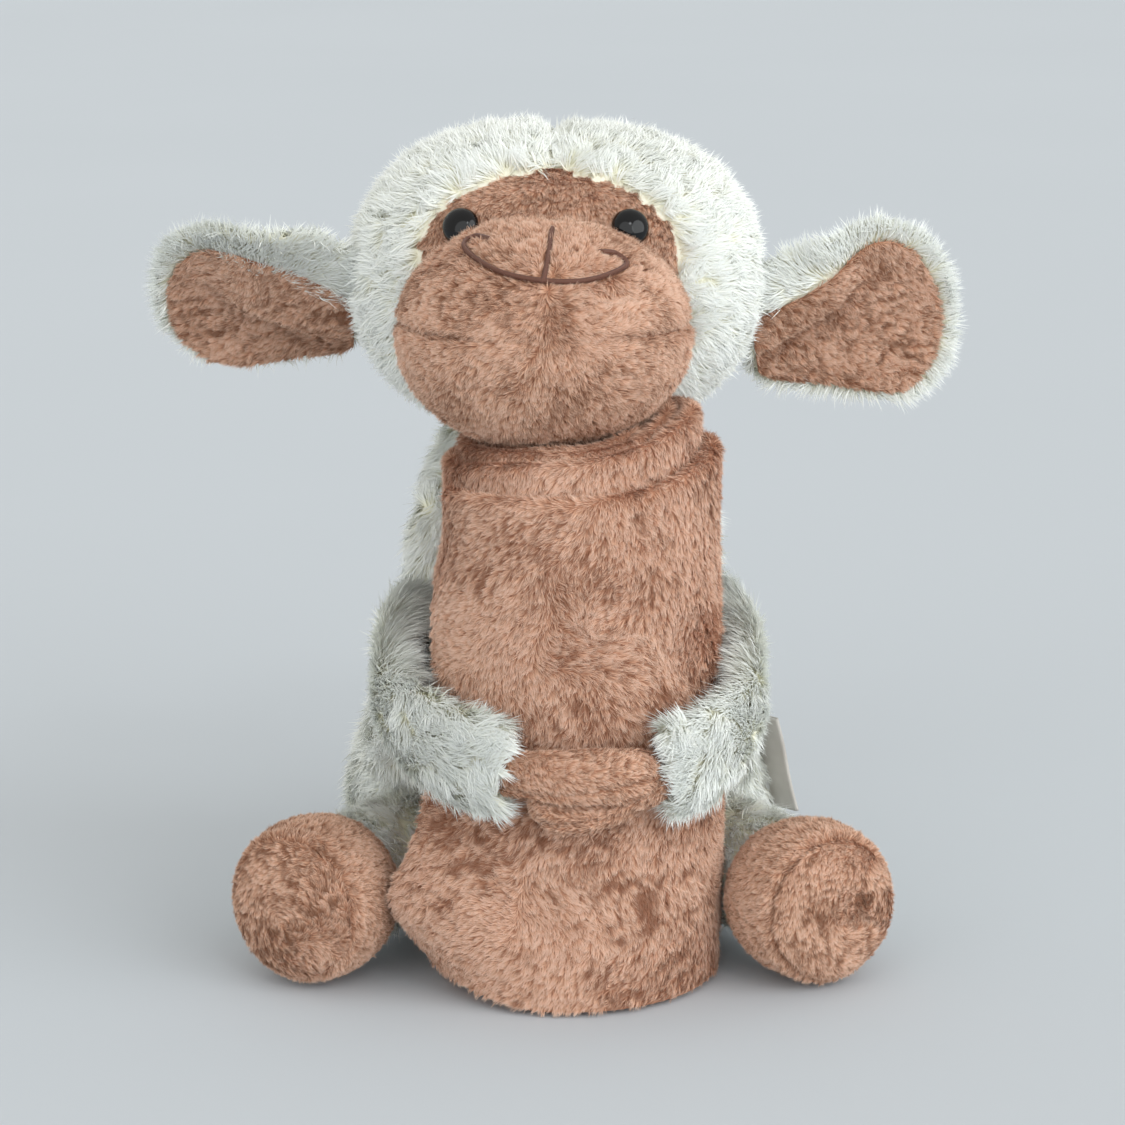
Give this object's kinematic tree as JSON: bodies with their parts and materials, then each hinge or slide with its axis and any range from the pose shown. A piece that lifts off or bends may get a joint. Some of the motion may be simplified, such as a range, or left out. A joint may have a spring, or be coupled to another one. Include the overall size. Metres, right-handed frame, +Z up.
{
  "type": "plush toy with rolled blanket",
  "caption": "Seated plush lamb with stuffed head, hinged limbs and ears, hugging a rolled fleece blanket that lifts out of its arms.",
  "frame": {"origin": "middle of the flat seat panel, on the surface that the toy sits on", "axes": "+Z up, -Y the way the lamb faces, +X its own left"},
  "size_m": [0.2653, 0.2173, 0.275],
  "materials": {
    "wool_white": "long-pile cream plush",
    "velour_brown": "short-pile brown plush",
    "velour_sole": "short-pile brown plush, darker nap",
    "fleece_brown": "brushed brown fleece",
    "fibre_white": "loose polyester fibre",
    "thread_brown": "satin-stitched thread",
    "satin_grey": "woven satin ribbon",
    "eye_black": "polished black",
    "washer_white": "moulded",
    "hook_and_loop": "hook-and-loop tape"
  },
  "bodies": {
    "blanket": {"blanket_roll": "fleece_brown"},
    "torso": {"body_cover": "wool_white", "body_filling": "fibre_white", "seat_panel": "wool_white"},
    "head": {"head_cover": "wool_white", "face_panel": "velour_brown", "muzzle_upper": "velour_brown", "muzzle_lower": "velour_brown", "head_filling": "fibre_white", "mouth_embroidery": "thread_brown", "eye_left": "eye_black", "eye_right": "eye_black", "eye_washer_left": "washer_white", "eye_washer_right": "washer_white"},
    "label": {"care_label": "satin_grey"},
    "ear_left": {"ear_back_left": "wool_white", "ear_lining_left": "velour_brown"},
    "arm_left": {"sleeve_left": "wool_white", "paw_left": "velour_brown", "arm_filling_left": "fibre_white", "loop_patch": "hook_and_loop"},
    "leg_left": {"leg_cover_left": "wool_white", "foot_upper_left": "velour_brown", "sole_left": "velour_sole", "leg_filling_left": "fibre_white"},
    "ear_right": {"ear_back_right": "wool_white", "ear_lining_right": "velour_brown"},
    "arm_right": {"sleeve_right": "wool_white", "paw_right": "velour_brown", "arm_filling_right": "fibre_white", "hook_patch": "hook_and_loop"},
    "leg_right": {"leg_cover_right": "wool_white", "foot_upper_right": "velour_brown", "sole_right": "velour_sole", "leg_filling_right": "fibre_white"}
  },
  "joints": [
    {"name": "lift_off", "type": "slide", "parent": "blanket", "child": "torso", "axis": [0, 0, 1], "range_m": [0, 0.2]},
    {"name": "head_turn", "type": "hinge", "parent": "torso", "child": "head", "pos_m": [0, 0, 0.177], "axis": [0, 0, 1], "range_deg": [-20, 20]},
    {"name": "ear_left_flop", "type": "hinge", "parent": "head", "child": "ear_left", "pos_m": [0.0826, -0.019, 0.206], "axis": [-0.0121, 0.9976, 0.0687], "range_deg": [-20, 30]},
    {"name": "ear_right_flop", "type": "hinge", "parent": "head", "child": "ear_right", "pos_m": [-0.088, -0.019, 0.214], "axis": [-0.0818, -0.809, -0.5821], "range_deg": [-20, 30]},
    {"name": "arm_left_open", "type": "hinge", "parent": "torso", "child": "arm_left", "pos_m": [0.057, 0.012, 0.097], "axis": [0, -0.7071, 0.7071], "range_deg": [0, 60]},
    {"name": "arm_right_open", "type": "hinge", "parent": "torso", "child": "arm_right", "pos_m": [-0.0535, 0.002, 0.095], "axis": [0, 0, -1], "range_deg": [0, 70]},
    {"name": "leg_left_splay", "type": "hinge", "parent": "torso", "child": "leg_left", "pos_m": [0.066, -0.026, 0.028], "axis": [0, 0, 1], "range_deg": [0, 30]},
    {"name": "leg_right_splay", "type": "hinge", "parent": "torso", "child": "leg_right", "pos_m": [-0.066, -0.026, 0.028], "axis": [0, 0, -1], "range_deg": [0, 30]},
    {"name": "label_flip", "type": "hinge", "parent": "torso", "child": "label", "pos_m": [0.072, -0.015, 0.052], "axis": [0, 0, 1], "range_deg": [-10, 25]}
  ]
}
